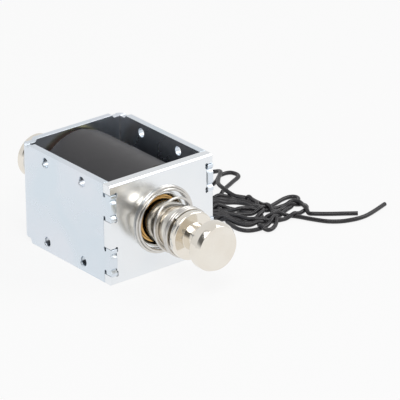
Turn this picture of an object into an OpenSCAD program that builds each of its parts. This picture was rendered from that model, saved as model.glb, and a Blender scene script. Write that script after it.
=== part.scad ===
// Push-pull solenoid: an open box frame, a wound coil, a sprung plunger and its push rod.
// Millimetres. +Z is up, the plunger's head points towards -Y and the leads lie on the +X side.
// The origin is on the ground, under the middle of the overall length and width.

/* [Frame] */
// Length from the front plate's outer face to the back plate's outer face
frame_l = 53; // [50:1:62]
// Clearance between the coil and each side plate
side_gap = 1.75; // [1:0.05:4]
// How far the coil lies inside the frame's top and bottom edges
coil_recess = 0.5; // [0.25:0.05:3]
// Thickness of the folded strip that makes the back and both sides
strip_t = 2.5; // [2:0.1:3]
// Thickness of the front plate
front_t = 3.9; // [3:0.1:5]
// Outer radius of the two rear bends
bend_r = 4; // [3.5:0.1:6]
// Inner radius of those bends, where the strip thins
bend_in_r = 0.6; // [0.4:0.1:2]
// Chamfer round the outer face of the front plate
plate_chamfer = 0.6; // [0.3:0.1:1]
// Depth of the reliefs cut above the rear bends
relief_depth = 1; // [0.5:0.1:3]
// Depth of the reliefs under the rear bends, where the leads pass out
under_relief = 1.8; // [1.7:0.1:3]
// How far each relief reaches past the inside of its bend
relief_reach = 2.6; // [1:0.1:5]
// Length of the slope at each end of a relief
relief_slope = 0.8; // [0.4:0.1:4]
// How far the bending pushes the strip's upper edge back out inside the bend
bend_bulge = 0.4; // [0.1:0.05:0.5]

/* [Corner joint] */
// Height of the front plate's top and bottom ears
end_ear_h = 3.6; // [2.5:0.1:5]
// Height of each side tab that passes through the front plate
tab_h = 10.2; // [8:0.1:12]
// How far the staked tabs stand proud of the front plate
tab_proud = 0.5; // [0:0.1:1]
// Clearance all round a tab in its notch
joint_gap = 0.1; // [0.05:0.05:0.3]
// Diameter of the round relief pockets at the roots of the notches
pocket_d = 1.1; // [0.8:0.1:1.6]
// Height of the relief pockets
pocket_h = 2; // [1.6:0.1:2.6]
// Width of each V shaped stake mark across a tab's end
stake_w = 2; // [1:0.1:2.6]
// Depth of the stake marks
stake_depth = 0.9; // [0.4:0.1:1.4]
// Distance from a tab's corner to the middle of its stake mark
stake_inset = 2.2; // [1.6:0.1:3]

/* [Side holes] */
// Tapping diameter of the M4 holes in the sides
side_hole_d = 3.3; // [2.5:0.1:4.2]
// Diameter of their countersinks on the outer faces
countersink_d = 4.2; // [4.2:0.1:5]
// Distance of the front pair behind the front plate's outer face
hole_front = 16.6; // [10:0.1:22]
// Distance between the front pair and the rear pair
hole_spacing = 21.4; // [15:0.1:28]
// Distance of the holes from the top and bottom edges
hole_edge = 3.7; // [3:0.1:6]

/* [Coil] */
// Diameter over the black coil tape
coil_d = 37; // [33:0.5:42]
// Thickness of the bobbin's flanges
flange_t = 1.5; // [1:0.1:2.5]
// Wall of the bobbin's tube
bobbin_wall = 1; // [0.6:0.1:1.5]
// Thickness of the yellow insulation tape
inner_tape_t = 0.2; // [0.1:0.05:0.4]
// Thickness of one layer of the black coil tape
coil_tape_t = 0.25; // [0.15:0.05:0.5]
// Width of the place at each end where the black tape leaves the yellow tape bare
bare_w = 7; // [4:0.5:12]
// Depth of those bare places
bare_depth = 1.2; // [0.4:0.1:2]
// Distance from the coil's rear end to the edge of the tape's last layer
tape_lap = 5; // [3:0.5:12]
// Thickness of the fibre washers at both ends of the coil
fibre_t = 0.5; // [0.3:0.1:1]
// Height of the wave washer that takes up the slack behind the coil
wave_h = 1; // [0.8:0.1:1.6]
// Thickness of the wave washer's strip
wave_t = 0.3; // [0.2:0.05:0.4]
// Width of the wave washer's strip
wave_w = 3.4; // [2:0.1:5]
// Number of waves round the washer
waves = 3; // [3:1:5]

/* [Plunger] */
// Diameter of the plunger's sliding shaft
plunger_d = 16.4; // [15:0.1:17]
// How far the shaft shows in front of the front plate at rest
shaft_out = 15.2; // [14:0.1:18]
// How far the spring collar stands out round the shaft
collar_lip = 0.7; // [0.5:0.1:2]
// Thickness of the spring collar
collar_t = 2.9; // [2:0.1:4]
// Diameter of the neck between collar and head
neck_d = 10; // [8:0.1:12]
// Length of the neck
neck_l = 8.2; // [6:0.1:10]
// Diameter of the head
head_d = 17.9; // [15:0.1:20]
// Length of the head
head_l = 5.2; // [4:0.1:7]
// Length of the bevel on the head's front edge
head_bevel_l = 1.8; // [1:0.1:2.5]
// Width of that bevel
head_bevel_w = 0.9; // [0.5:0.1:1.5]
// Small edge break on the collar and on the head's rear edge
edge_break = 0.4; // [0.2:0.1:0.8]
// Travel of the plunger from rest to the pole
stroke = 10; // [5:0.5:12]
// Length of the cone at the plunger's inner end
cone_l = 5; // [3:0.5:7]
// Diameter of the cone's flat tip
cone_tip_d = 10; // [9:0.5:12]

/* [Sleeve and pole] */
// Wall of the brass guide sleeve
sleeve_wall = 0.5; // [0.3:0.05:0.8]
// How far the sleeve's end lies behind the front plate's outer face
sleeve_recess = 2; // [1:0.1:3]
// Gap between the sleeve and the bore of the front plate
bore_gap = 0.5; // [0.3:0.1:1]
// Chamfer at the mouth of that bore
bore_chamfer = 0.65; // [0.3:0.05:1]
// Length of the fixed pole inside the sleeve
pole_l = 15; // [12:0.5:18]
// Diameter of the pole's tenon in the back plate
tenon_d = 11; // [10:0.5:14]
// Thickness of the riveted head on the tenon
rivet_t = 0.8; // [0.5:0.1:1.5]
// How far the riveted head spreads over the back plate
rivet_spread = 0.9; // [0.5:0.1:1.5]
// Thickness of the anti-residual shim on the pole
shim_t = 0.4; // [0.2:0.1:0.5]

/* [Push rod] */
// Diameter of the push rod
rod_d = 6; // [5:0.1:7]
// How deep the rod is pressed into the plunger
rod_grip = 12; // [8:1:18]
// Distance from the back plate to the rear face of the button
rear_out = 22.4; // [16:0.1:28]
// Diameter of the button on the rod's rear end
button_d = 16.8; // [12:0.1:20]
// Thickness of the button
button_t = 3.3; // [2.5:0.1:5]
// Chamfer on the button's edges
button_chamfer = 0.6; // [0.3:0.1:1]
// Wall of the bronze rod bush
bush_wall = 1; // [0.7:0.1:1.4]
// Length of the rod bush
bush_l = 8; // [5:0.5:12]
// Thickness of the rubber stop washer behind the pole
stop_t = 1.2; // [0.8:0.1:2]
// Diameter of the retaining clip
clip_d = 11.4; // [10:0.1:14]
// Thickness of the retaining clip
clip_t = 0.8; // [0.6:0.1:1]
// Depth of the clip's groove in the rod
groove_depth = 0.7; // [0.4:0.1:0.9]

/* [Spring] */
// Diameter of the spring's wire
wire_d = 0.95; // [0.7:0.05:1.1]
// Width of the plate left bare between the bore and the spring's inner base turn
bore_land = 1; // [0.2:0.1:2]
// How far the large end turn lies outside the inner base turn
end_turn_step = 0.85; // [0.8:0.05:2]
// Clearance between the small turns and the plunger's shaft
spring_gap = 0.25; // [0.15:0.05:0.5]
// How far the large end sits off the axis, sideways
spring_side = 0.6; // [-0.6:0.1:0.6]
// How far the large end sits off the axis, upwards
spring_lift = 0.1; // [-0.5:0.05:0.5]

/* [Leads] */
// Outer diameter of each lead
lead_d = 1.6; // [1.2:0.1:1.8]
// Height of the loose hank of leads
hank_h = 7; // [5:0.5:10]

/* [Clearances] */
// Radial running clearance of the plunger and of the push rod
running = 0.05; // [0.02:0.01:0.09]
// Allowance between fixed pieces that seat on each other
seat = 0.02; // [0.01:0.01:0.05]
// Gap round the rod where it only passes through
loose = 0.3; // [0.2:0.1:0.5]

/* [Hidden] */
$fn = 96;

// Width over the two side plates and height of the open box
frame_w = coil_d + 2 * (side_gap + strip_t);
frame_h = coil_d + 2 * coil_recess;

// The overall length and the place of the front plate along Y
nose_out = shaft_out + collar_t + neck_l + head_l;
overall_l = nose_out + frame_l + rear_out;
front_y = nose_out - overall_l / 2;
axis_z = frame_h / 2;

// Heights of the tabs, and of the corners between tabs and ears
tab_low = end_ear_h;
tab_high = frame_h - end_ear_h - tab_h;
tab_bottoms = [tab_low, tab_high];

// Radii outwards from the axis
shaft_r = plunger_d / 2;
sleeve_in_r = shaft_r + running;
sleeve_out_r = sleeve_in_r + sleeve_wall;
bobbin_in_r = sleeve_out_r + seat;
bobbin_out_r = bobbin_in_r + bobbin_wall;
bore_r = sleeve_out_r + bore_gap;
collar_r = shaft_r + collar_lip;
pole_r = sleeve_in_r - seat;
tape_r = coil_d / 2;
under_tape_r = tape_r - 2 * coil_tape_t;
winding_r = under_tape_r - seat - inner_tape_t - seat;
flange_r = winding_r;
rod_r = rod_d / 2;
bush_in_r = rod_r + running;
bush_out_r = bush_in_r + bush_wall;
tenon_r = tenon_d / 2;

// Small fixed clearances and shapes of the turned pieces
washer_inset = 1;
wave_clear = 0.6;
cone_ledge = 0.8;
cone_gap = 0.3;
tip_gap = 0.2;
clip_play = 0.1;
clip_hollow = 0.6;
tooth_w = 2.2;
button_grip = 0.7;
rod_break = 0.4;

// Angles from the top, towards +X, of the bare places at the coil's ends
front_bare_a = 8;
rear_bare_a = 19;

// Distances behind the front plate's outer face
back_s = frame_l - strip_t;
front_washer_s = front_t + seat;
bobbin_s = front_washer_s + fibre_t + seat;
wave_s = back_s - seat - wave_h;
rear_washer_s = wave_s - seat - fibre_t;
bobbin_end_s = rear_washer_s - seat;
coil_s = bobbin_s + flange_t;
coil_end_s = bobbin_end_s - flange_t;
pole_s = back_s - pole_l;
shoulder_s = pole_s - stroke - shim_t - tip_gap;
rivet_s = frame_l + seat;
stop_s = rivet_s + rivet_t + seat;
clip_s = stop_s + stop_t + clip_play;
button_s = frame_l + rear_out - button_t;
rod_s = shoulder_s + cone_l - rod_grip;
rod_end_s = button_s + button_grip * button_t;

// Turns of the spring: how many lie closed at each end and how many are open between them
base_turns = 1.85;
open_turns = 1.5;
tip_turns = 2.2;
spring_turns = base_turns + open_turns + tip_turns;
spring_start = -70;
tip_r = shaft_r + spring_gap + wire_d / 2;
base_r = bore_r + bore_chamfer + bore_land + wire_d / 2;
wire_step = wire_d + 0.1;
plate_reach = wire_d / 2 + seat;
nest_lift = 0.6;
base_reach = plate_reach + nest_lift;
tip_end_reach = shaft_out - plate_reach;
tip_reach = tip_end_reach - tip_turns * wire_step;

// Route of each lead, as distances from the right side plate, from the front plate's face
// and from the ground. The hank stands for each route's middle part.
lead_z = lead_d / 2 + 0.05;
lead_a_route = [[-10.8, 40, 4.7], [-9, 41, 2.6], [-6, 44.5, lead_z], [-2.4, 49.3, lead_z],
    [2.5, 53, lead_z], [11.5, 56.3, lead_z], [22, 52, lead_z],
    [28, 47, lead_z], [33.5, 44.7, lead_z], [38.5, 46.5, lead_z], [43, 49.8, lead_z],
    [47.6, 49.4, lead_z], [47.9, 45, lead_z], [42.5, 42, lead_z], [35, 38, lead_z],
    [26, 30.5, lead_z], [22.7, 25.5, lead_z]];
lead_b_route = [[-10.8, 43.5, 4.7], [-9, 44.5, 2.6], [-6.5, 47.5, lead_z], [-3.5, 50.7, lead_z],
    [1, 55, lead_z], [8, 60.5, lead_z], [18, 63, lead_z], [28, 61.5, lead_z],
    [36, 57.2, lead_z], [41.5, 53, 1.6], [42.4, 48.9, 2.9], [38.4, 44.9, 2.9],
    [35, 40.8, 2.9], [33.7, 36.4, 2.9], [34.4, 31.2, 1.6], [36.9, 25.4, lead_z]];
lead_a_tail = [[43.9, -2.4, lead_z], [47.5, -8, lead_z], [53, -11.5, lead_z],
    [61, -12.5, lead_z], [73, -9, lead_z]];
lead_b_tail = [[48.8, -0.3, lead_z], [52, -3, lead_z], [56, -6, lead_z], [60, -9, lead_z]];
hank_left = [28, 13];
hank_right = [41, 11];
hank_r = 14;

// Puts a turned piece, drawn upright, on the axis with its foot this far behind the front face
module on_axis(s)
    translate([0, front_y + s, axis_z]) rotate([-90, 0, 0]) children();

// A turned ring
module ring(inner_r, outer_r, length)
    rotate_extrude()
        translate([inner_r, 0]) square([outer_r - inner_r, length]);

// Copies what lies on the right side to the left side as well
module both_sides() {
    children();
    mirror([1, 0, 0]) children();
}

// Plan of a strip folded round three sides, with round rear corners
module fold_plan(w, l, r, front) {
    translate([-w / 2, front_y + front]) square([w, l - front - r]);
    translate([-w / 2 + r, front_y + l - r - 1]) square([w - 2 * r, r + 1]);
    for (side = [-1, 1])
        translate([side * (w / 2 - r), front_y + l - r]) circle(r = r);
}

// Round ended pocket along Z, cut through along X
module pocket_along_x(x, s, z, through) {
    for (end = [-1, 1])
        translate([x, front_y + s, z + end * (pocket_h - pocket_d) / 2])
            rotate([0, 90, 0]) cylinder(h = through, d = pocket_d, $fn = 32);
    translate([x, front_y + s - pocket_d / 2, z - (pocket_h - pocket_d) / 2])
        cube([through, pocket_d, pocket_h - pocket_d]);
}

// Notches in a side plate for the ears of the front plate
module ear_notches() {
    x = frame_w / 2 - strip_t - 1;
    through = strip_t + 2;
    depth = front_t + joint_gap + tab_proud + 1;
    edges = [[-1, tab_low], [tab_low + tab_h, tab_high], [tab_high + tab_h, frame_h + 1]];
    for (ear = edges)
        translate([x, front_y + front_t + joint_gap - depth, ear[0]])
            cube([through, depth, ear[1] - ear[0]]);
    for (bottom = tab_bottoms) {
        pocket_along_x(x, front_t - pocket_d / 2 + joint_gap, bottom + pocket_h / 4, through);
        pocket_along_x(x, front_t - pocket_d / 2 + joint_gap, bottom + tab_h - pocket_h / 4,
            through);
    }
}

// V shaped stake marks across the tab ends
module stake_marks() {
    for (bottom = tab_bottoms, inset = [stake_inset, tab_h - stake_inset])
        translate([frame_w / 2 - strip_t - 1, front_y - tab_proud, bottom + inset])
            rotate([90, 0, 90]) linear_extrude(strip_t + 2)
                polygon([[-1, -stake_w], [stake_depth, 0], [-1, stake_w]]);
}

// Tapped holes of one side, with their countersinks
module side_holes() {
    sink = (countersink_d - side_hole_d) / 2;
    for (s = [hole_front, hole_front + hole_spacing], z = [hole_edge, frame_h - hole_edge])
        translate([frame_w / 2, front_y + s, z]) rotate([0, -90, 0]) {
            translate([0, 0, -1]) cylinder(h = strip_t + 2, d = side_hole_d, $fn = 48);
            translate([0, 0, -0.01])
                cylinder(h = sink, d1 = countersink_d, d2 = side_hole_d, $fn = 48);
        }
}

// Reliefs under one rear bend: one in the side wall and one in the back wall, with the edge
// that bulges out between them
module bend_reliefs(depth, bulge) {
    flat = strip_t + relief_reach;
    profile = [[-1, -1], [flat + relief_slope, -1], [flat + relief_slope, 0],
        [flat, depth], [strip_t + bend_in_r, depth], [strip_t, depth - bulge],
        [-1, depth - bulge]];
    translate([frame_w / 2 - strip_t - 0.2, front_y + frame_l, 0])
        rotate([90, 0, 90]) linear_extrude(strip_t + 1)
            polygon([for (p = profile) [-p[0], p[1]]]);
    translate([frame_w / 2, front_y + back_s - 0.2, 0])
        rotate([90, 0, 0]) mirror([0, 0, 1]) linear_extrude(strip_t + 1)
            polygon([for (p = profile) [-p[0], p[1]]]);
}

module u_frame() color("gainsboro") difference() {
    linear_extrude(frame_h) difference() {
        fold_plan(frame_w, frame_l, bend_r, -tab_proud);
        fold_plan(frame_w - 2 * strip_t, back_s, bend_in_r, -tab_proud - 1);
    }
    both_sides() {
        ear_notches();
        stake_marks();
        side_holes();
        bend_reliefs(under_relief, 0);
        translate([0, 0, frame_h]) mirror([0, 0, 1]) bend_reliefs(relief_depth, bend_bulge);
    }
    on_axis(back_s - 1) cylinder(h = strip_t + 2, r = tenon_r + seat);
}

// Long wedge that bevels one edge of the front plate's outer face
module edge_wedge(length)
    rotate([0, 90, 0]) linear_extrude(length, center = true)
        polygon([[-plate_chamfer, 0], [0, plate_chamfer], [1, plate_chamfer], [1, -1],
            [-plate_chamfer, -1]]);

module front_plate() color("whitesmoke") difference() {
    translate([-frame_w / 2, front_y, 0]) cube([frame_w, front_t, frame_h]);
    both_sides() for (bottom = tab_bottoms) {
        notch_x = frame_w / 2 - strip_t - joint_gap;
        translate([notch_x, front_y - 1, bottom - joint_gap])
            cube([strip_t + 1, front_t + 2, tab_h + 2 * joint_gap]);
        for (z = [bottom + pocket_h / 4, bottom + tab_h - pocket_h / 4], up = [-1, 1])
            translate([notch_x, front_y - 1, z + up * (pocket_h - pocket_d) / 2])
                rotate([-90, 0, 0]) cylinder(h = front_t + 2, d = pocket_d, $fn = 32);
    }
    on_axis(-1) cylinder(h = front_t + 2, r = bore_r);
    on_axis(-0.01) cylinder(h = bore_chamfer, r1 = bore_r + bore_chamfer, r2 = bore_r);
    translate([0, front_y, 0]) edge_wedge(frame_w + 2);
    translate([0, front_y, frame_h]) mirror([0, 0, 1]) edge_wedge(frame_w + 2);
}

// The bobbin: a tube with two flanges, and a slot in the rear flange for the leads
module bobbin() color("khaki") difference() {
    on_axis(bobbin_s) {
        ring(bobbin_in_r, bobbin_out_r, bobbin_end_s - bobbin_s);
        ring(bobbin_in_r, flange_r, flange_t);
        translate([0, 0, coil_end_s - bobbin_s]) ring(bobbin_in_r, flange_r, flange_t);
    }
    slot_angle = 45;
    slot_r = (bobbin_out_r + flange_r) / 2;
    translate([0, front_y + coil_end_s - 1, axis_z]) rotate([0, slot_angle, 0])
        translate([slot_r, 0, -lead_d]) cube([flange_r, flange_t + 2, 2 * lead_d]);
}

module winding() color("peru")
    on_axis(coil_s + seat)
        ring(bobbin_out_r + seat, winding_r, coil_end_s - coil_s - 2 * seat);

module insulation_tape() color("khaki")
    on_axis(bobbin_s) ring(winding_r + seat, under_tape_r - seat, bobbin_end_s - bobbin_s);

// Black tape over the whole coil: one full layer, and a last one that stops short of the rear.
// Near the top, a shallow round place at each end leaves the yellow tape bare.
module coil_tape() color("dimgray") {
    length = bobbin_end_s - bobbin_s;
    bare_r = (bare_w * bare_w / 4 + bare_depth * bare_depth) / (2 * bare_depth);
    difference() {
        on_axis(bobbin_s) {
            ring(under_tape_r, tape_r - coil_tape_t, length);
            ring(under_tape_r, tape_r, length - tape_lap);
        }
        on_axis(bobbin_s) rotate([0, 0, front_bare_a]) translate([0, 0, bare_depth - bare_r])
            rotate([90, 0, 0]) cylinder(h = coil_d, r = bare_r);
        on_axis(bobbin_end_s) rotate([0, 0, rear_bare_a]) translate([0, 0, bare_r - bare_depth])
            rotate([90, 0, 0]) cylinder(h = coil_d, r = bare_r);
    }
}

module fibre_washer(s) color("saddlebrown")
    on_axis(s) ring(bobbin_out_r, flange_r - washer_inset, fibre_t);

module front_fibre_washer() fibre_washer(front_washer_s);

module rear_fibre_washer() fibre_washer(rear_washer_s);

// Spring washer bent into waves: a strip of four sided sections round the axis
module wave_washer() color("silver") {
    steps = 72;
    inner = bobbin_out_r + wave_clear;
    outer = inner + wave_w;
    rise = (wave_h - wave_t) / 2;
    section = [[inner, -1], [outer, -1], [outer, 1], [inner, 1]];
    points = [for (i = [0:steps - 1], p = section)
        let (a = i * 360 / steps)
        [p[0] * cos(a), p[0] * sin(a), wave_h / 2 + rise * sin(waves * a) + p[1] * wave_t / 2]];
    faces = [for (i = [0:steps - 1], k = [0:3])
        let (j = (i + 1) % steps, m = (k + 1) % 4)
        [4 * i + k, 4 * j + k, 4 * j + m, 4 * i + m]];
    on_axis(wave_s) polyhedron(points, faces);
}

module guide_sleeve() color("goldenrod")
    on_axis(sleeve_recess)
        ring(sleeve_in_r, sleeve_out_r, back_s - seat - sleeve_recess);

// Fixed pole: a hollow cone towards the plunger, a tenon through the back plate, riveted over
module stator_pole() color("lightgray") {
    mouth_r = shaft_r - cone_ledge + cone_gap;
    floor_r = cone_tip_d / 2 + cone_gap;
    bush_seat_s = rivet_s + rivet_t - bush_l - seat;
    on_axis(0) rotate_extrude() polygon([
        [mouth_r, pole_s], [pole_r, pole_s], [pole_r, back_s - seat],
        [tenon_r, back_s - seat], [tenon_r, rivet_s],
        [tenon_r + rivet_spread, rivet_s], [tenon_r + rivet_spread, rivet_s + rivet_t / 2],
        [tenon_r + rivet_spread / 2, rivet_s + rivet_t],
        [bush_out_r + seat, rivet_s + rivet_t], [bush_out_r + seat, bush_seat_s],
        [rod_r + loose, bush_seat_s], [rod_r + loose, pole_s + cone_l],
        [floor_r, pole_s + cone_l]]);
}

module rod_bush() color("darkgoldenrod")
    on_axis(rivet_s + rivet_t - bush_l) ring(bush_in_r, bush_out_r, bush_l);

module pole_shim() color("orange")
    on_axis(pole_s + cone_l - seat - shim_t)
        ring(rod_r + loose, cone_tip_d / 2, shim_t);

module stop_washer() color("black")
    on_axis(stop_s) ring(rod_r + loose, tenon_r + rivet_spread / 2, stop_t);

// The moving plunger: head, neck, spring collar, shaft, and a cone bored for the push rod
module plunger() color("linen") {
    head_s = -nose_out;
    neck_s = head_s + head_l;
    collar_s = neck_s + neck_l;
    head_r = head_d / 2;
    tip_s = shoulder_s + cone_l;
    on_axis(0) rotate_extrude() polygon([
        [0, head_s], [head_r - head_bevel_w, head_s], [head_r, head_s + head_bevel_l],
        [head_r, neck_s - edge_break], [head_r - edge_break, neck_s], [neck_d / 2, neck_s],
        [neck_d / 2, collar_s], [collar_r - edge_break, collar_s],
        [collar_r, collar_s + edge_break], [collar_r, collar_s + collar_t - edge_break],
        [collar_r - edge_break, collar_s + collar_t], [shaft_r, collar_s + collar_t],
        [shaft_r, shoulder_s], [shaft_r - cone_ledge, shoulder_s],
        [cone_tip_d / 2, tip_s], [rod_r + seat, tip_s], [rod_r + seat, rod_s - seat],
        [0, rod_s - seat]]);
}

// The push rod, with a groove for its clip and broken edges at both ends
module push_rod() color("silver") {
    groove_r = rod_r - groove_depth;
    groove_s = clip_s - clip_play;
    groove_end_s = clip_s + clip_t + clip_play;
    on_axis(0) rotate_extrude() polygon([
        [0, rod_s], [rod_r - rod_break, rod_s], [rod_r, rod_s + rod_break],
        [rod_r, groove_s], [groove_r, groove_s],
        [groove_r, groove_end_s], [rod_r, groove_end_s],
        [rod_r, rod_end_s - rod_break], [rod_r - rod_break, rod_end_s], [0, rod_end_s]]);
}

// Button pressed on the rod's rear end
module push_button() color("linen") {
    outer_r = button_d / 2;
    end_s = button_s + button_t;
    on_axis(0) rotate_extrude() polygon([
        [rod_r + seat, button_s], [outer_r - button_chamfer, button_s],
        [outer_r, button_s + button_chamfer], [outer_r, end_s - button_chamfer],
        [outer_r - button_chamfer, end_s], [0, end_s],
        [0, rod_end_s + seat], [rod_r + seat, rod_end_s + seat]]);
}

// Retaining clip: an open ring with three inner teeth that grip the groove
module retaining_clip() color("slategray") {
    grip_r = rod_r - groove_depth + seat;
    hollow_r = rod_r + clip_hollow;
    mouth_w = 2 * grip_r - clip_hollow;
    on_axis(clip_s) linear_extrude(clip_t) difference() {
        union() {
            difference() {
                circle(d = clip_d);
                circle(r = hollow_r);
            }
            for (a = [90, 210, 330])
                rotate(a) translate([grip_r, -tooth_w / 2])
                    square([hollow_r - grip_r + clip_play, tooth_w]);
        }
        circle(r = grip_r);
        translate([-mouth_w / 2, -clip_d]) square([mouth_w, clip_d]);
    }
}

function unit(v) = v / norm(v);

function heading(path, i) = unit(path[min(i + 1, len(path) - 1)] - path[max(i - 1, 0)]);

// A round tube swept along a path; up is a direction that the path never takes
module swept_tube(path, r, sides, up) {
    rings = len(path);
    points = [for (i = [0:rings - 1], k = [0:sides - 1])
        let (t = heading(path, i), side = unit(cross(t, up)), top = cross(side, t),
            a = k * 360 / sides)
        path[i] + r * (cos(a) * side + sin(a) * top)];
    walls = [for (i = [0:rings - 2], k = [0:sides - 1])
        let (m = (k + 1) % sides)
        [i * sides + k, i * sides + m, (i + 1) * sides + m, (i + 1) * sides + k]];
    near_end = [for (k = [0:sides - 1]) sides - 1 - k];
    far_end = [for (k = [0:sides - 1]) (rings - 1) * sides + k];
    polyhedron(points, concat(walls, [near_end, far_end]));
}

// Radius, distance before the front face and share of the offset, after t turns of the spring:
// two turns nested on the plate, an open cone, and closed turns behind the collar
function opened(t) = min(max((t - base_turns) / open_turns, 0), 1);
function spring_radius(t) = tip_r + (base_r - tip_r) * pow(1 - opened(t), 2.4)
    + end_turn_step * lookup(t, [[base_turns - 1, 1], [1, 0]]);
function spring_reach(t) = lookup(t, [[base_turns - 1, plate_reach], [1, base_reach]])
    + (tip_reach - base_reach) * opened(t)
    + wire_step * max(t - base_turns - open_turns, 0);
function spring_offset(t) = 1 - opened(t);

// Tapered return spring between the front plate and the collar, wound anticlockwise
module return_spring() color("darkgray") {
    steps_per_turn = 20;
    steps = round(spring_turns * steps_per_turn);
    path = [for (i = [0:steps])
        let (t = i * spring_turns / steps, a = spring_start + 360 * t, r = spring_radius(t))
        [r * cos(a) + spring_side * spring_offset(t), front_y - spring_reach(t),
            axis_z + r * sin(a) + spring_lift * spring_offset(t)]];
    swept_tube(path, wire_d / 2, 8, [0, 1, 0]);
}

// A smooth curve through a lead's points, with a ring at each point and one between
function curve_point(a, b, c, d, u) = 0.5 * (2 * b + (c - a) * u
    + (2 * a - 5 * b + 4 * c - d) * u * u + (3 * b - a - 3 * c + d) * u * u * u);
function smooth_route(p) = [
    for (i = [0:len(p) - 2], u = [0, 0.5])
        curve_point(p[max(i - 1, 0)], p[i], p[i + 1], p[min(i + 2, len(p) - 1)], u),
    p[len(p) - 1]];

module lead_run(route) color("dimgray")
    translate([frame_w / 2, front_y, 0])
        swept_tube(smooth_route(route), lead_d / 2, 8, [0, 0, 1]);

module lead_a() lead_run(lead_a_route);

module lead_b() lead_run(lead_b_route);

module lead_a_end() lead_run(lead_a_tail);

module lead_b_end() lead_run(lead_b_tail);

// Loose hank of both leads on the ground, as the outer shape that it fills
module lead_hank() color("dimgray")
    translate([frame_w / 2, front_y, 0]) linear_extrude(hank_h) {
        along = hank_right - hank_left;
        turn = atan2(along[1], along[0]);
        polygon([for (end = [[hank_right, -90], [hank_left, 90]], a = [0:12:180])
            let (b = turn + end[1] + a)
            end[0] + hank_r * [cos(b), sin(b)]]);
    }

u_frame();
front_plate();
bobbin();
winding();
insulation_tape();
coil_tape();
front_fibre_washer();
rear_fibre_washer();
wave_washer();
guide_sleeve();
stator_pole();
rod_bush();
pole_shim();
stop_washer();
return_spring();
plunger();
push_rod();
push_button();
retaining_clip();
lead_a();
lead_b();
lead_a_end();
lead_b_end();
lead_hank();
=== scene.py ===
"""Push-pull solenoid, laid out as a Blender add-on and run as a script.

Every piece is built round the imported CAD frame, in metres. Y is the plunger's axis, its head
points to -Y, Z is up and the leads lie on the +X side.
"""

import math

import bmesh
import bpy
from mathutils import Matrix, Vector
from mathutils.kdtree import KDTree


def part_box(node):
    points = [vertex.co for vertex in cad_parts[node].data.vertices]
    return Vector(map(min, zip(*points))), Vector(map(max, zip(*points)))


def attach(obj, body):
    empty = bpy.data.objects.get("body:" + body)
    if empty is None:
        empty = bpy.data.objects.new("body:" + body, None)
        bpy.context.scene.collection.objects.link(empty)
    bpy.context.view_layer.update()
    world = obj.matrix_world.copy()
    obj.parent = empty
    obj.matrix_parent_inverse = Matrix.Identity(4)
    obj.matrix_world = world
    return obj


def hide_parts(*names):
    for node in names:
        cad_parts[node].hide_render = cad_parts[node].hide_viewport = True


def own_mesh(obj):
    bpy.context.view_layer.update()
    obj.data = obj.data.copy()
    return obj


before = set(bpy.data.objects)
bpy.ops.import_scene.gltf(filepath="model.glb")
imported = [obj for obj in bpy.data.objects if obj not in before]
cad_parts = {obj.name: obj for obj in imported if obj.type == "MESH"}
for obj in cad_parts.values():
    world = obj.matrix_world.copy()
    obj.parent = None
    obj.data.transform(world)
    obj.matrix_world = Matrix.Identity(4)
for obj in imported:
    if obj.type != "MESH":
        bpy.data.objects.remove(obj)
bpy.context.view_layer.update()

bl_info = {
    "name": "Push-Pull Solenoid",
    "version": (1, 0, 0),
    "blender": (4, 5, 0),
    "location": "View3D > Sidebar > Solenoid",
    "description": "Dresses the packed push-pull solenoid and sets its stage",
    "category": "Add Mesh",
}

MM = 0.001
ROUND_STEPS = 128

# Places that follow from the frame
PLATE_LOW, PLATE_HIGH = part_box("front_plate")
BACK_LOW, BACK_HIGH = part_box("u_frame")
SLEEVE_LOW, SLEEVE_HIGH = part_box("guide_sleeve")
COIL_LOW, COIL_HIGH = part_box("coil_tape")
BODY_LOW, BODY_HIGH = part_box("plunger")
ROD_LOW, ROD_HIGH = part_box("push_rod")
BUTTON_LOW, BUTTON_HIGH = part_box("push_button")
FRONT_Y = PLATE_LOW.y
AXIS_Z = (SLEEVE_LOW.z + SLEEVE_HIGH.z) / 2
SIDE_X = PLATE_HIGH.x


def smooth_mesh(obj, angle=35):
    """Shades an object smooth, with edges sharper than the angle kept crisp."""
    obj.data.shade_smooth()
    obj.data.set_sharp_from_angle(angle=math.radians(angle))


def piece_from(bm, name, material, body="frame", angle=35):
    """Turns a bmesh into a finished object that rides on a body."""
    mesh = bpy.data.meshes.new(name)
    bm.to_mesh(mesh)
    bm.free()
    obj = bpy.data.objects.new(name, mesh)
    bpy.context.scene.collection.objects.link(obj)
    mesh.materials.append(material)
    smooth_mesh(obj, angle)
    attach(obj, body)
    return obj


def turned(profile, closed=False, rounding=0.0, min_corner=25, steps=ROUND_STEPS, segments=3):
    """A turned solid on the axis. The profile lists (radius, distance along Y) in metres, and
    its corners sharper than min_corner degrees are rounded."""
    bm = bmesh.new()
    verts = [bm.verts.new((r, y, 0)) for r, y in profile]
    pairs = list(zip(verts, verts[1:]))
    if closed:
        pairs.append((verts[-1], verts[0]))
    for pair in pairs:
        bm.edges.new(pair)
    if rounding:
        corners = []
        for vert in verts:
            if len(vert.link_edges) != 2 or vert.co.x < 1e-6:
                continue
            a, b = (edge.other_vert(vert).co - vert.co for edge in vert.link_edges)
            if math.degrees(a.angle(b)) < 180 - min_corner:
                corners.append(vert)
        bmesh.ops.bevel(bm, geom=corners, offset=rounding, offset_type="OFFSET",
                        segments=segments, profile=0.5, affect="VERTICES", material=-1)
    bmesh.ops.spin(bm, geom=bm.verts[:] + bm.edges[:], cent=(0, 0, 0), axis=(0, 1, 0),
                   dvec=(0, 0, 0), angle=math.tau, steps=steps, use_merge=True)
    bmesh.ops.remove_doubles(bm, verts=bm.verts, dist=2e-6)
    bmesh.ops.recalc_face_normals(bm, faces=bm.faces)
    bmesh.ops.translate(bm, verts=bm.verts, vec=(0, 0, AXIS_Z))
    return bm


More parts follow.
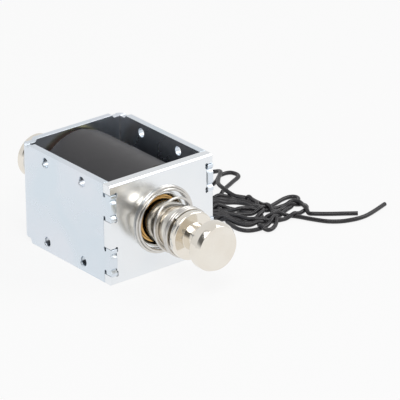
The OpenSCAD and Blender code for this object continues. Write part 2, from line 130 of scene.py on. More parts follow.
def merged_copy(node):
    """A bmesh of a CAD node's own mesh, merged and with its flat faces joined."""
    bm = bmesh.new()
    bm.from_mesh(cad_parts[node].data)
    bmesh.ops.remove_doubles(bm, verts=bm.verts, dist=3e-6)
    bmesh.ops.dissolve_limit(bm, angle_limit=math.radians(0.5), verts=bm.verts, edges=bm.edges,
                             use_dissolve_boundaries=False, delimit={"NORMAL"})
    return bm


def add_edge_rounding(obj, width, segments=2, angle=40):
    """Rounds an object's sharp edges with a Bevel modifier that keeps flats flat."""
    rounding = obj.modifiers.new("Edge rounding", "BEVEL")
    rounding.width = width
    rounding.segments = segments
    rounding.limit_method = "ANGLE"
    rounding.angle_limit = math.radians(angle)
    rounding.use_clamp_overlap = False
    rounding.harden_normals = True
    rounding.miter_outer = "MITER_ARC"


# Shader node groups shared by several finishes

def group_named(name, inputs, outputs):
    """A new shader node group with its sockets: (name, type, default) in, (name, type) out."""
    tree = bpy.data.node_groups.new(name, "ShaderNodeTree")
    for label, kind, value in inputs:
        socket = tree.interface.new_socket(name=label, in_out="INPUT", socket_type=kind)
        socket.default_value = value
    for label, kind in outputs:
        tree.interface.new_socket(name=label, in_out="OUTPUT", socket_type=kind)
    return tree, tree.nodes.new("NodeGroupInput"), tree.nodes.new("NodeGroupOutput")


def mottle_group():
    """Cloudy colour change of plated or moulded surfaces, with a matching roughness."""
    name = "Surface Mottle"
    if name in bpy.data.node_groups:
        return bpy.data.node_groups[name]
    tree, entry, leave = group_named(
        name,
        [("Vector", "NodeSocketVector", (0, 0, 0)), ("Scale", "NodeSocketFloat", 40.0),
         ("Color A", "NodeSocketColor", (0.8, 0.8, 0.8, 1)),
         ("Color B", "NodeSocketColor", (0.7, 0.7, 0.7, 1)),
         ("Roughness Low", "NodeSocketFloat", 0.2),
         ("Roughness High", "NodeSocketFloat", 0.3)],
        [("Color", "NodeSocketColor"), ("Roughness", "NodeSocketFloat")])
    noise = tree.nodes.new("ShaderNodeTexNoise")
    noise.inputs["Detail"].default_value = 5
    noise.inputs["Roughness"].default_value = 0.55
    noise.inputs["Distortion"].default_value = 0.4
    spread = tree.nodes.new("ShaderNodeMapRange")
    spread.inputs["From Min"].default_value = 0.35
    spread.inputs["From Max"].default_value = 0.65
    mix = tree.nodes.new("ShaderNodeMix")
    mix.data_type = "RGBA"
    rough = tree.nodes.new("ShaderNodeMapRange")
    link = tree.links.new
    link(entry.outputs["Vector"], noise.inputs["Vector"])
    link(entry.outputs["Scale"], noise.inputs["Scale"])
    link(noise.outputs["Fac"], spread.inputs["Value"])
    link(spread.outputs["Result"], mix.inputs["Factor"])
    link(entry.outputs["Color A"], mix.inputs["A"])
    link(entry.outputs["Color B"], mix.inputs["B"])
    link(spread.outputs["Result"], rough.inputs["Value"])
    link(entry.outputs["Roughness Low"], rough.inputs["To Min"])
    link(entry.outputs["Roughness High"], rough.inputs["To Max"])
    link(mix.outputs["Result"], leave.inputs["Color"])
    link(rough.outputs["Result"], leave.inputs["Roughness"])
    return tree


def grain_group():
    """Fine drawn grain: noise stretched by the scale of each axis, put out as a height."""
    name = "Drawn Grain"
    if name in bpy.data.node_groups:
        return bpy.data.node_groups[name]
    tree, entry, leave = group_named(
        name,
        [("Vector", "NodeSocketVector", (0, 0, 0)), ("Stretch", "NodeSocketVector", (1, 1, 1)),
         ("Scale", "NodeSocketFloat", 900.0)],
        [("Height", "NodeSocketFloat")])
    stretch = tree.nodes.new("ShaderNodeVectorMath")
    stretch.operation = "MULTIPLY"
    noise = tree.nodes.new("ShaderNodeTexNoise")
    noise.inputs["Detail"].default_value = 3
    noise.inputs["Roughness"].default_value = 0.6
    link = tree.links.new
    link(entry.outputs["Vector"], stretch.inputs[0])
    link(entry.outputs["Stretch"], stretch.inputs[1])
    link(stretch.outputs["Vector"], noise.inputs["Vector"])
    link(entry.outputs["Scale"], noise.inputs["Scale"])
    link(noise.outputs["Fac"], leave.inputs["Height"])
    return tree


def finish_material(name, color_a, color_b, metallic, rough_low, rough_high, scale=60.0,
                    grain=(1, 1, 1), grain_scale=900.0, bump=0.05, bump_depth=0.00002,
                    coat=0.0, coat_rough=0.2):
    """A procedural finish: mottled colour and roughness, and a fine grain in its bump."""
    if name in bpy.data.materials:
        return bpy.data.materials[name]
    material = bpy.data.materials.new(name)
    material.use_nodes = True
    material.diffuse_color = (*color_a, 1)
    tree = material.node_tree
    shader = tree.nodes["Principled BSDF"]
    shader.inputs["Metallic"].default_value = metallic
    shader.inputs["Coat Weight"].default_value = coat
    shader.inputs["Coat Roughness"].default_value = coat_rough
    place = tree.nodes.new("ShaderNodeTexCoord")
    mottle = tree.nodes.new("ShaderNodeGroup")
    mottle.node_tree = mottle_group()
    mottle.inputs["Scale"].default_value = scale
    mottle.inputs["Color A"].default_value = (*color_a, 1)
    mottle.inputs["Color B"].default_value = (*color_b, 1)
    mottle.inputs["Roughness Low"].default_value = rough_low
    mottle.inputs["Roughness High"].default_value = rough_high
    drawn = tree.nodes.new("ShaderNodeGroup")
    drawn.node_tree = grain_group()
    drawn.inputs["Stretch"].default_value = grain
    drawn.inputs["Scale"].default_value = grain_scale
    raised = tree.nodes.new("ShaderNodeBump")
    raised.inputs["Strength"].default_value = bump
    raised.inputs["Distance"].default_value = bump_depth
    link = tree.links.new
    link(place.outputs["Object"], mottle.inputs["Vector"])
    link(place.outputs["Object"], drawn.inputs["Vector"])
    link(mottle.outputs["Color"], shader.inputs["Base Color"])
    link(mottle.outputs["Roughness"], shader.inputs["Roughness"])
    link(drawn.outputs["Height"], raised.inputs["Height"])
    link(raised.outputs["Normal"], shader.inputs["Normal"])
    return material


def zinc_strip():
    return finish_material("zinc strip", (0.72, 0.80, 0.87), (0.80, 0.84, 0.90), 1.0,
                           0.24, 0.33, scale=35.0, grain=(1, 0.08, 1), bump=0.12)


def zinc_plate():
    return finish_material("zinc plate", (0.86, 0.89, 0.92), (0.90, 0.92, 0.94), 1.0,
                           0.16, 0.24, scale=45.0, grain=(0.08, 1, 1), bump=0.06)


def nickel():
    return finish_material("bright nickel", (0.83, 0.78, 0.70), (0.87, 0.83, 0.76), 1.0,
                           0.08, 0.14, scale=120.0, grain=(1, 14, 1), bump=0.05)


def spring_steel():
    return finish_material("drawn spring wire", (0.72, 0.70, 0.67), (0.62, 0.60, 0.57), 1.0,
                           0.14, 0.24, scale=250.0, bump=0.08)


def black_tape():
    return finish_material("black tape", (0.030, 0.029, 0.032), (0.045, 0.043, 0.047), 0.0,
                           0.36, 0.5, scale=80.0, grain=(1, 0.3, 1), grain_scale=500.0,
                           bump=0.35, bump_depth=0.0001)


def yellow_tape():
    return finish_material("yellow tape", (0.78, 0.66, 0.24), (0.85, 0.74, 0.36), 0.0,
                           0.25, 0.4, scale=90.0, bump=0.1)


def brass():
    return finish_material("drawn brass", (0.78, 0.50, 0.20), (0.70, 0.42, 0.16), 1.0,
                           0.18, 0.3, scale=150.0, grain=(1, 12, 1), bump=0.08)


def pole_steel():
    return finish_material("turned steel", (0.66, 0.67, 0.68), (0.58, 0.59, 0.60), 1.0,
                           0.25, 0.36, scale=150.0, grain=(1, 12, 1), bump=0.1)


def rod_steel():
    return finish_material("ground rod", (0.76, 0.75, 0.73), (0.70, 0.69, 0.67), 1.0,
                           0.12, 0.2, scale=200.0, grain=(1, 14, 1), bump=0.05)


def clip_steel():
    return finish_material("oiled steel", (0.10, 0.10, 0.11), (0.06, 0.06, 0.065), 1.0,
                           0.35, 0.5, scale=300.0, bump=0.1)


def rubber():
    return finish_material("black rubber", (0.022, 0.022, 0.023), (0.032, 0.031, 0.031), 0.0,
                           0.6, 0.75, scale=250.0, bump=0.2, bump_depth=0.0001)


def lead_pvc():
    return finish_material("lead insulation", (0.016, 0.015, 0.017), (0.024, 0.022, 0.025),
                           0.0, 0.22, 0.32, scale=200.0, bump=0.08)


def nylon():
    return finish_material("moulded nylon", (0.025, 0.025, 0.024), (0.04, 0.04, 0.038), 0.0,
                           0.5, 0.62, scale=200.0, bump=0.15, bump_depth=0.00005)


def copper():
    return finish_material("enamelled copper", (0.50, 0.20, 0.08), (0.62, 0.28, 0.12), 0.8,
                           0.25, 0.35, scale=200.0, bump=0.1)


def fibre():
    return finish_material("vulcanised fibre", (0.20, 0.09, 0.05), (0.28, 0.13, 0.07), 0.0,
                           0.6, 0.75, scale=200.0, bump=0.2, bump_depth=0.00005)


def bronze():
    return finish_material("sintered bronze", (0.55, 0.36, 0.16), (0.46, 0.29, 0.12), 1.0,
                           0.35, 0.5, scale=400.0, bump=0.2)


# Sizes that a user would change

class SolenoidSizes(bpy.types.PropertyGroup):
    """Sizes of the pieces that are modelled here, as lengths in metres."""
    wire: bpy.props.FloatProperty(
        name="Spring wire", description="Diameter of the return spring's wire",
        default=0.95 * MM, min=0.5 * MM, max=1.2 * MM, precision=5, unit="LENGTH")
    lead: bpy.props.FloatProperty(
        name="Lead", description="Diameter of each lead",
        default=1.6 * MM, min=1 * MM, max=2 * MM, precision=5, unit="LENGTH")
    edge: bpy.props.FloatProperty(
        name="Edge rounding", description="Radius of the frame's broken edges",
        default=0.16 * MM, min=0.05 * MM, max=0.4 * MM, precision=5, unit="LENGTH")
    turned_edge: bpy.props.FloatProperty(
        name="Turned edge", description="Radius of the broken edges of turned pieces",
        default=0.18 * MM, min=0.05 * MM, max=0.4 * MM, precision=5, unit="LENGTH")
    view_distance: bpy.props.FloatProperty(
        name="Camera distance", description="Distance from the camera to the plate's middle",
        default=35.10 * 38 * MM, min=0.5, max=5, unit="LENGTH")


class SolenoidColours(bpy.types.PropertyGroup):
    """Colours of the stage."""
    floor: bpy.props.FloatVectorProperty(
        name="Floor", description="Colour of the floor and the backdrop",
        subtype="COLOR", size=3, default=(1, 1, 1), min=0, max=1)


# Camera, in the frame's coordinates

CAMERA_AZIMUTH = -38.18
CAMERA_ELEVATION = 23.98
CAMERA_ROLL = -0.64
CAMERA_SIDE = 0.3436 * 38 * MM
CAMERA_RISE = 0.6396 * 38 * MM
CAMERA_LENS = 340.2


class SOLENOID_OT_camera(bpy.types.Operator):
    """Adds the camera"""
    bl_idname = "solenoid.camera"
    bl_label = "Camera"

    def execute(self, context):
        sizes = context.scene.solenoid_sizes
        azimuth, elevation, roll = (math.radians(a) for a in (
            CAMERA_AZIMUTH, CAMERA_ELEVATION, CAMERA_ROLL))
        back = Vector((math.sin(azimuth) * math.cos(elevation),
                       -math.cos(azimuth) * math.cos(elevation), math.sin(elevation)))
        level = Vector((math.cos(azimuth), math.sin(azimuth), 0))
        steep = back.cross(level)
        right = level * math.cos(roll) + steep * math.sin(roll)
        up = steep * math.cos(roll) - level * math.sin(roll)
        place = (right * CAMERA_SIDE + up * CAMERA_RISE + back * sizes.view_distance
                 + Vector((0, FRONT_Y, 0)))
        camera = bpy.data.cameras.new("camera")
        camera.lens = CAMERA_LENS
        camera.sensor_width = 36
        camera.clip_end = 20
        obj = bpy.data.objects.new("camera", camera)
        obj.matrix_world = Matrix.Translation(place) @ Matrix(
            (right, up, back)).transposed().to_4x4()
        context.scene.collection.objects.link(obj)
        context.scene.camera = obj
        return {"FINISHED"}


# Leads, as (distance from the right side, distance behind the front face, height) in mm

LEAD_Z = 0.85
LEAD_A = [
    (-10.8, 40, 4.7), (-9, 41, 2.6), (-6, 44.5), (-2.4, 49.3), (2.5, 53), (11.5, 56.3),
    (22, 52), (28, 47), (33.5, 44.7), (38.5, 46.5), (43, 49.8), (47.6, 49.4), (47.9, 45),
    (42.5, 42), (35, 38), (26, 30.5), (22.7, 25.5),
    (20.4, 20), (18.6, 14), (17.4, 8.5), (19, 4.3), (23.5, 2.9), (29.5, 4.2), (35, 6.8),
    (40, 9.2), (45, 11.4), (50, 13), (53, 15.3), (52, 18.2), (48, 18.6), (43.3, 17),
    (39.2, 15.9), (34.8, 14.6), (30.8, 14.4), (27.6, 16.6), (24.2, 19.4), (20, 21.8),
    (16, 24.4), (13.6, 27.8), (15.6, 31.2), (20.5, 32), (26, 31.8), (31, 30.6), (34.4, 27.6),
    (36, 23.2), (36.2, 18.4), (34.6, 13.8), (31, 10.8), (26.6, 10.8), (23.4, 14), (21, 18.6),
    (17.4, 22.6), (13.6, 26.4), (12.6, 30.6), (15.4, 34), (21, 35), (26.5, 34.6), (31.5, 33.8),
    (35.4, 31), (37.4, 27), (38.2, 22.5), (38.3, 17.5), (37, 12.4), (35.4, 8), (32.5, 4), (28.8, 0.6),
    (25.2, -0.6), (23.6, 2.4), (25.6, 5.8), (29.5, 7.6), (34, 8), (38, 6.6), (41.2, 3),
    (43.9, -2.4), (47.5, -8), (53, -11.5), (61, -12.5), (73, -9)]
LEAD_B = [
    (-10.8, 43.5, 4.7), (-9, 44.5, 2.6), (-6.5, 47.5), (-3.5, 50.7), (1, 55), (8, 60.5),
    (18, 63), (28, 61.5), (36, 57.2), (41.5, 53, 1.6), (42.4, 48.9, 2.9), (38.4, 44.9, 2.9),
    (35, 40.8, 2.9), (33.7, 36.4, 2.9), (34.4, 31.2, 1.6), (36.9, 25.4),
    (37, 20.6), (34.4, 16.4), (30.6, 15.8), (28.4, 19.4), (26.6, 23.6), (22.8, 27),
    (18, 27), (16.2, 23), (18.6, 18.6), (20.6, 13.6), (21.4, 8.8), (25, 6.2), (30, 7),
    (35.5, 9.4), (41, 11.6), (46, 12.2), (50, 11), (50.8, 7.8), (48, 5.4), (43.5, 4.4),
    (38, 4), (32.6, 4.6), (27.8, 6.6), (24.6, 10.4), (23.4, 15), (21.4, 19.4),
    (17.6, 23.4), (14.2, 26.6), (15, 30), (19, 31), (24.5, 30.4), (29.5, 29), (33, 26.2),
    (34.8, 22), (34.6, 17.2), (32.6, 12.6), (29.4, 9.4), (25.2, 8.6), (22, 11.2), (20.6, 15.6),
    (18, 20), (14.6, 23.6), (12.8, 27.6), (14.4, 31.4), (18.6, 31), (21.4, 27.8), (24.6, 23.8),
    (28.4, 20), (31.6, 16.8), (35.4, 14.2), (39.6, 13.4), (44, 13.4), (48, 12.2),
    (49.2, 8.8), (47.2, 5.4), (46.4, 2.4), (48.8, -0.3), (52, -3), (56, -6), (60, -9)]
HANK_START = {"lead_a_wire": 16, "lead_b_wire": 15}
TAIL_START = {"lead_a_wire": 5, "lead_b_wire": 4}
STRAND_STEP = 1.5
SETTLE_ROUNDS = 160


def full_route(route):
    """A lead's points in mm, each with its height."""
    return [Vector(point if len(point) == 3 else (*point, LEAD_Z)) for point in route]


def between(points, index, share):
    """A point of the smooth curve between one point and the next."""
    last = len(points) - 1
    a, b, c, d = (points[min(max(index + k, 0), last)] for k in (-1, 0, 1, 2))
    return 0.5 * (2 * b + (c - a) * share + (2 * a - 5 * b + 4 * c - d) * share ** 2
                  + (3 * b - a - 3 * c + d) * share ** 3)


class Strand:
    """A lead as a chain of points in mm. The ends before and after the hank stay put."""

    def __init__(self, route, start, tail, lift):
        points = full_route(route)
        last = len(points) - 1
        self.points, self.free = [], []
        for index in range(last):
            length = (points[index + 1] - points[index]).length
            parts = max(1, round(length / STRAND_STEP))
            loose = start <= index < last - tail
            for part in range(parts):
                point = between(points, index, part / parts)
                rise = lift * math.sin(len(self.points) * 0.21) if loose else 0
                self.points.append(point + Vector((0, 0, abs(rise))))
                self.free.append(loose and (index, part) != (start, 0))
        self.points.append(points[last])
        self.free.append(False)
        self.home = [point.copy() for point in self.points]

    def heading(self, index):
        last = len(self.points) - 1
        return (self.points[min(index + 1, last)] - self.points[max(index - 1, 0)]).normalized()


def push_apart(strands, gap):
    """Moves free points that lie closer than the gap: sideways where strands run side by side,
    and up and down where they cross."""
    owners = [(strand, index) for strand in strands for index in range(len(strand.points))]
    tree = KDTree(len(owners))
    for number, (strand, index) in enumerate(owners):
        tree.insert(strand.points[index], number)
    tree.balance()
    near = round(2.5 * gap / STRAND_STEP) + 1
    for number, (strand, index) in enumerate(owners):
        here = strand.points[index]
        for _, other, _ in tree.find_range(here, gap * 1.15):
            rival, at = owners[other]
            if other <= number or (rival is strand and abs(at - index) <= near):
                continue
            apart = here - rival.points[at]
            side_by_side = abs(strand.heading(index).dot(rival.heading(at)))
            sign = 1 if apart.z >= 0 else -1
            level = max(apart.xy.length, 0.01)
            push = Vector((apart.x / level * side_by_side, apart.y / level * side_by_side,
                           sign * (1.2 - side_by_side)))
            lack = gap - apart.length
            if lack <= 0:
                continue
            push *= 0.5 * lack
            if strand.free[index]:
                strand.points[index] += push
            if rival.free[at]:
                rival.points[at] -= push


def even_out(strand, drop, pull):
    """Straightens a strand a little, lets it sink, and keeps it over the ground and near its
    own course."""
    old = [point.copy() for point in strand.points]
    for index in range(1, len(old) - 1):
        if not strand.free[index]:
            continue
        middle = (old[index - 1] + old[index + 1]) / 2
        point = strand.points[index].lerp(middle, 0.2)
        home = strand.home[index]
        point.x += (home.x - point.x) * pull
        point.y += (home.y - point.y) * pull
        point.z = max(point.z - drop, LEAD_Z)
        strand.points[index] = point


def settle(strands, gap):
    """Lets the strands find room beside and over each other."""
    for _ in range(SETTLE_ROUNDS):
        push_apart(strands, gap)
        for strand in strands:
            even_out(strand, 0.03, 0.05)


def to_frame(point):
    """A lead's point in mm, as a point of the frame in metres."""
    return Vector((SIDE_X + point.x * MM, FRONT_Y + point.y * MM, point.z * MM))


def lead_curve(name, points, diameter):
    """A lead as a curve of one open spline."""
    curve = bpy.data.curves.new(name, "CURVE")
    curve.dimensions = "3D"
    curve.bevel_depth = diameter / 2
    curve.bevel_resolution = 4
    curve.resolution_u = 6
    curve.use_fill_caps = True
    spline = curve.splines.new("BEZIER")
    spline.bezier_points.add(len(points) - 1)
    for knot, point in zip(spline.bezier_points, points):
        knot.co = to_frame(point)
        knot.handle_left_type = knot.handle_right_type = "AUTO"
    curve.materials.append(lead_pvc())
    obj = bpy.data.objects.new(name, curve)
    bpy.context.scene.collection.objects.link(obj)
    return obj


class SOLENOID_OT_leads(bpy.types.Operator):
    """Adds both leads, loosely bunched on the ground"""
    bl_idname = "solenoid.leads"
    bl_label = "Leads"

    def execute(self, context):
        diameter = context.scene.solenoid_sizes.lead
        parts = (("lead_a_wire", LEAD_A, ("lead_a", "lead_a_end", "lead_hank")),
                 ("lead_b_wire", LEAD_B, ("lead_b", "lead_b_end")))
        strands = [Strand(route, HANK_START[name], TAIL_START[name], 1.6)
                   for name, route, _ in parts]
        settle(strands, diameter / MM)
        for (name, _, nodes), strand in zip(parts, strands):
            obj = lead_curve(name, strand.points, diameter)
            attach(obj, "frame")
            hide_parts(*nodes)
        return {"FINISHED"}


class SOLENOID_OT_frame(bpy.types.Operator):
    """Adds the folded strip and the front plate"""
    bl_idname = "solenoid.frame"
    bl_label = "Frame"

    def execute(self, context):
        sizes = context.scene.solenoid_sizes
        for node, name, material, slot in (
                ("u_frame", "folded_strip", zinc_strip(), "zinc_strip"),
                ("front_plate", "front_plate_plated", zinc_plate(), "zinc_plate")):
            obj = piece_from(merged_copy(node), name, material)
            add_edge_rounding(obj, sizes.edge)
            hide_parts(node)
        return {"FINISHED"}


class SOLENOID_OT_coil(bpy.types.Operator):
    """Gives the finishes of the coil's tape and its other parts"""
    bl_idname = "solenoid.coil"
    bl_label = "Coil"

    def execute(self, context):
        for node, material in (
                ("coil_tape", black_tape()), ("insulation_tape", yellow_tape()),
                ("bobbin", nylon()), ("winding", copper()), ("front_fibre_washer", fibre()),
                ("rear_fibre_washer", fibre()), ("wave_washer", spring_steel())):
            dress_node(node, material)
        return {"FINISHED"}


def dress_node(node, material):
    """Gives a CAD node its finish."""
    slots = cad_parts[node].material_slots
    if not slots:
        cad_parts[node].data.materials.append(material)
    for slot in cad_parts[node].material_slots:
        slot.material = material


# The spring's stations, the same as the solid's

BASE_TURNS = 1.85
OPEN_TURNS = 1.5
TIP_TURNS = 2.2
START_ANGLE = -70
SHAFT_R = 8.2 * MM
TIP_GAP = 0.25 * MM
BASE_R = 11.375 * MM
END_STEP = 0.85 * MM
NEST_LIFT = 0.6 * MM
PLATE_REACH = 0.495 * MM
SPRING_LENGTH = 15.2 * MM
SPRING_SIDE = 0.6 * MM
SPRING_LIFT = 0.1 * MM


def spring_point(turn, wire):
    """A point of the spring's centreline after this many turns."""
    opened = min(max((turn - BASE_TURNS) / OPEN_TURNS, 0), 1)
    nested = min(max((turn - BASE_TURNS + 1) / (2 - BASE_TURNS), 0), 1)
    step = wire + 0.1 * MM
    tip_r = SHAFT_R + TIP_GAP + wire / 2
    tip_reach = SPRING_LENGTH - PLATE_REACH - TIP_TURNS * step
    base_reach = PLATE_REACH + NEST_LIFT
    radius = tip_r + (BASE_R - tip_r) * (1 - opened) ** 2.4 + END_STEP * (1 - nested)
    reach = (PLATE_REACH + NEST_LIFT * nested + (tip_reach - base_reach) * opened
             + step * max(turn - BASE_TURNS - OPEN_TURNS, 0))
    angle = math.radians(START_ANGLE + 360 * turn)
    return Vector((radius * math.cos(angle) + SPRING_SIDE * (1 - opened), FRONT_Y - reach,
                   AXIS_Z + radius * math.sin(angle) + SPRING_LIFT * (1 - opened)))


class SOLENOID_OT_spring(bpy.types.Operator):
    """Adds the tapered return spring"""
    bl_idname = "solenoid.spring"
    bl_label = "Return spring"

    def execute(self, context):
        wire = context.scene.solenoid_sizes.wire
        turns = BASE_TURNS + OPEN_TURNS + TIP_TURNS
        steps = round(turns * 48)
        curve = bpy.data.curves.new("spring_path", "CURVE")
        curve.dimensions = "3D"
        curve.bevel_depth = wire / 2
        curve.bevel_resolution = 5
        curve.use_fill_caps = True
        spline = curve.splines.new("POLY")
        spline.points.add(steps)
        for index, knot in enumerate(spline.points):
            knot.co = (*spring_point(turns * index / steps, wire), 1)
        path = bpy.data.objects.new("spring_path", curve)
        context.scene.collection.objects.link(path)
        mesh = bpy.data.meshes.new_from_object(path.evaluated_get(
            context.evaluated_depsgraph_get()))
        bpy.data.objects.remove(path)
        bpy.data.curves.remove(curve)
        bm = bmesh.new()
        bm.from_mesh(mesh)
        bmesh.ops.remove_doubles(bm, verts=bm.verts, dist=1e-6)
        bmesh.ops.recalc_face_normals(bm, faces=bm.faces)
        obj = piece_from(bm, "spring_wire", spring_steel(), angle=60)
        bpy.data.meshes.remove(mesh)
        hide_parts("return_spring")
        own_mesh(obj)
        return {"FINISHED"}


def plunger_profile(head_l, bevel_l, bevel_w, neck_r, neck_l, collar_r, collar_t, brk):
    """Radius and place along Y of the plunger's outline, from its head's middle inwards."""
    nose = BODY_LOW.y
    head_r = (BODY_HIGH.x - BODY_LOW.x) / 2
    neck = nose + head_l
    collar = neck + neck_l
    rear = collar + collar_t
    tip = BODY_HIGH.y
    shoulder = tip - 5 * MM
    return [
        (0, nose), (head_r - bevel_w, nose), (head_r, nose + bevel_l), (head_r, neck - brk),
        (head_r - brk, neck), (neck_r, neck), (neck_r, collar), (collar_r - brk, collar),
        (collar_r, collar + brk), (collar_r, rear - brk), (collar_r - brk, rear),
        (SHAFT_R, rear), (SHAFT_R, shoulder), (SHAFT_R - 0.8 * MM, shoulder),
        (5 * MM, tip), (3.02 * MM, tip), (3.02 * MM, tip - 11.9 * MM), (0, tip - 11.9 * MM)]


class SOLENOID_OT_plunger(bpy.types.Operator):
    """Adds the plunger with its head, neck and spring collar"""
    bl_idname = "solenoid.plunger"
    bl_label = "Plunger"

    def execute(self, context):
        sizes = context.scene.solenoid_sizes
        profile = plunger_profile(5.2 * MM, 1.8 * MM, 0.9 * MM, 5 * MM, 8.2 * MM, 8.9 * MM,
                                  2.9 * MM, 0.4 * MM)
        bm = turned(profile, rounding=sizes.turned_edge)
        obj = piece_from(bm, "plunger_turned", nickel(), "plunger")
        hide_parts("plunger")
        return {"FINISHED"}


class SOLENOID_OT_rear(bpy.types.Operator):
    """Adds the finishes of the sleeve, the pole, the rod and its small parts"""
    bl_idname = "solenoid.rear"
    bl_label = "Rod and pole"

    def execute(self, context):
        for node, material in (
                ("guide_sleeve", brass()), ("stator_pole", pole_steel()),
                ("rod_bush", bronze()), ("pole_shim", brass()), ("stop_washer", rubber()),
                ("push_rod", rod_steel()), ("push_button", nickel()),
                ("retaining_clip", clip_steel())):
            dress_node(node, material)
        return {"FINISHED"}


class SOLENOID_OT_stage(bpy.types.Operator):
    """Adds the floor, the lamps and the surroundings"""
    bl_idname = "solenoid.stage"
    bl_label = "Stage"

    def execute(self, context):
        scene = context.scene
        scene.view_settings.view_transform = "Standard"
        add_floor(scene.solenoid_colours.floor)
        add_world()
        add_lamp("key lamp", (-0.5, -0.7, 1.3), 0.9, 9.0)
        add_lamp("fill lamp", (0.9, -0.4, 0.9), 0.8, 4.0)
        return {"FINISHED"}


FLOOR_REACH = 2.5
PAPER_SHADE = 0.85
FLOOR_SEEN = 0.86
FLOOR_MIRRORED = 0.8
DARK_SIDE = (-0.62, -0.42, 0.66)


def add_floor(color):
    """A wide pale floor that shows white to the camera and keeps a soft shadow."""
    bm = bmesh.new()
    bmesh.ops.create_grid(bm, x_segments=1, y_segments=1, size=FLOOR_REACH)
    mesh = bpy.data.meshes.new("floor")
    bm.to_mesh(mesh)
    bm.free()
    floor = bpy.data.objects.new("floor", mesh)
    bpy.context.scene.collection.objects.link(floor)
    material = bpy.data.materials.new("floor paper")
    material.use_nodes = True
    tree = material.node_tree
    tree.nodes.clear()
    paper = tree.nodes.new("ShaderNodeBsdfDiffuse")
    paper.inputs["Color"].default_value = (*[c * PAPER_SHADE for c in color], 1)
    glow = tree.nodes.new("ShaderNodeEmission")
    glow.inputs["Color"].default_value = (*color, 1)
    rays = tree.nodes.new("ShaderNodeLightPath")
    seen = tree.nodes.new("ShaderNodeMath")
    seen.operation = "MULTIPLY"
    seen.inputs[1].default_value = FLOOR_SEEN
    mirrored = tree.nodes.new("ShaderNodeMath")
    mirrored.operation = "MULTIPLY"
    mirrored.inputs[1].default_value = FLOOR_MIRRORED
    either = tree.nodes.new("ShaderNodeMath")
    either.operation = "MAXIMUM"
    mix = tree.nodes.new("ShaderNodeMixShader")
    out = tree.nodes.new("ShaderNodeOutputMaterial")
    link = tree.links.new
    link(rays.outputs["Is Camera Ray"], seen.inputs[0])
    link(rays.outputs["Is Glossy Ray"], mirrored.inputs[0])
    link(seen.outputs["Value"], either.inputs[0])
    link(mirrored.outputs["Value"], either.inputs[1])
    link(either.outputs["Value"], mix.inputs["Fac"])
    link(paper.outputs["BSDF"], mix.inputs[1])
    link(glow.outputs["Emission"], mix.inputs[2])
    link(mix.outputs["Shader"], out.inputs["Surface"])
    mesh.materials.append(material)


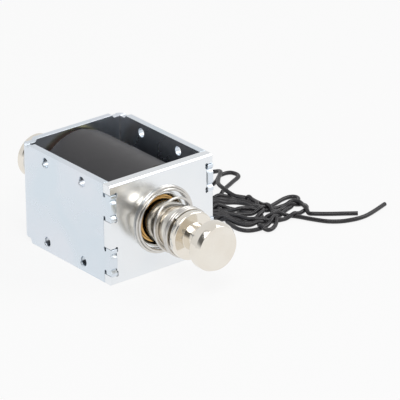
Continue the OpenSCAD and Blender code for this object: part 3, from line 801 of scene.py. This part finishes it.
def add_world():
    """Even studio surroundings with one darker side."""
    world = bpy.data.worlds.new("studio")
    bpy.context.scene.world = world
    world.use_nodes = True
    tree = world.node_tree
    tree.nodes.clear()
    place = tree.nodes.new("ShaderNodeTexCoord")
    facing = tree.nodes.new("ShaderNodeVectorMath")
    facing.operation = "DOT_PRODUCT"
    facing.inputs[1].default_value = Vector(DARK_SIDE).normalized()
    shade = tree.nodes.new("ShaderNodeMapRange")
    shade.interpolation_type = "SMOOTHSTEP"
    shade.inputs["From Min"].default_value = 0.72
    shade.inputs["From Max"].default_value = 0.93
    shade.inputs["To Min"].default_value = 1.0
    shade.inputs["To Max"].default_value = 0.16
    rays = tree.nodes.new("ShaderNodeLightPath")
    level = tree.nodes.new("ShaderNodeMapRange")
    level.inputs["To Min"].default_value = 0.62
    level.inputs["To Max"].default_value = 1.0
    reflected = tree.nodes.new("ShaderNodeMath")
    reflected.operation = "MAXIMUM"
    total = tree.nodes.new("ShaderNodeMath")
    total.operation = "MULTIPLY"
    white = tree.nodes.new("ShaderNodeMath")
    white.operation = "MAXIMUM"
    sky = tree.nodes.new("ShaderNodeBackground")
    out = tree.nodes.new("ShaderNodeOutputWorld")
    link = tree.links.new
    link(place.outputs["Generated"], facing.inputs[0])
    link(facing.outputs["Value"], shade.inputs["Value"])
    link(rays.outputs["Is Glossy Ray"], reflected.inputs[0])
    link(rays.outputs["Is Transmission Ray"], reflected.inputs[1])
    link(reflected.outputs["Value"], level.inputs["Value"])
    link(shade.outputs["Result"], total.inputs[0])
    link(level.outputs["Result"], total.inputs[1])
    link(total.outputs["Value"], white.inputs[0])
    link(rays.outputs["Is Camera Ray"], white.inputs[1])
    link(white.outputs["Value"], sky.inputs["Strength"])
    link(sky.outputs["Background"], out.inputs["Surface"])


def add_lamp(name, place, size, power):
    """A soft square lamp that looks at the object."""
    light = bpy.data.lights.new(name, "AREA")
    light.size = size
    light.energy = power
    obj = bpy.data.objects.new(name, light)
    aim = Vector((0, 0, 0.02)) - Vector(place)
    obj.rotation_euler = aim.to_track_quat("-Z", "Y").to_euler()
    obj.location = place
    bpy.context.scene.collection.objects.link(obj)


class SOLENOID_PT_panel(bpy.types.Panel):
    """Lists the solenoid's pieces"""
    bl_idname = "SOLENOID_PT_panel"
    bl_label = "Push-Pull Solenoid"
    bl_space_type = "VIEW_3D"
    bl_region_type = "UI"
    bl_category = "Solenoid"

    def draw(self, context):
        layout = self.layout
        for group in (context.scene.solenoid_sizes, context.scene.solenoid_colours):
            for name in group.__annotations__:
                layout.prop(group, name)
        for operator in OPERATORS:
            layout.operator(operator.bl_idname)


OPERATORS = (SOLENOID_OT_camera, SOLENOID_OT_leads, SOLENOID_OT_frame, SOLENOID_OT_coil,
             SOLENOID_OT_spring, SOLENOID_OT_plunger, SOLENOID_OT_rear, SOLENOID_OT_stage)
CLASSES = (SolenoidSizes, SolenoidColours, *OPERATORS, SOLENOID_PT_panel)


def register():
    for cls in CLASSES:
        bpy.utils.register_class(cls)
    bpy.types.Scene.solenoid_sizes = bpy.props.PointerProperty(type=SolenoidSizes)
    bpy.types.Scene.solenoid_colours = bpy.props.PointerProperty(type=SolenoidColours)


def unregister():
    del bpy.types.Scene.solenoid_colours
    del bpy.types.Scene.solenoid_sizes
    for cls in reversed(CLASSES):
        bpy.utils.unregister_class(cls)


def main():
    register()
    bpy.ops.solenoid.camera()
    bpy.ops.solenoid.leads()
    bpy.ops.solenoid.frame()
    bpy.ops.solenoid.coil()
    bpy.ops.solenoid.spring()
    bpy.ops.solenoid.plunger()
    bpy.ops.solenoid.rear()
    bpy.ops.solenoid.stage()


if __name__ == "__main__":
    main()
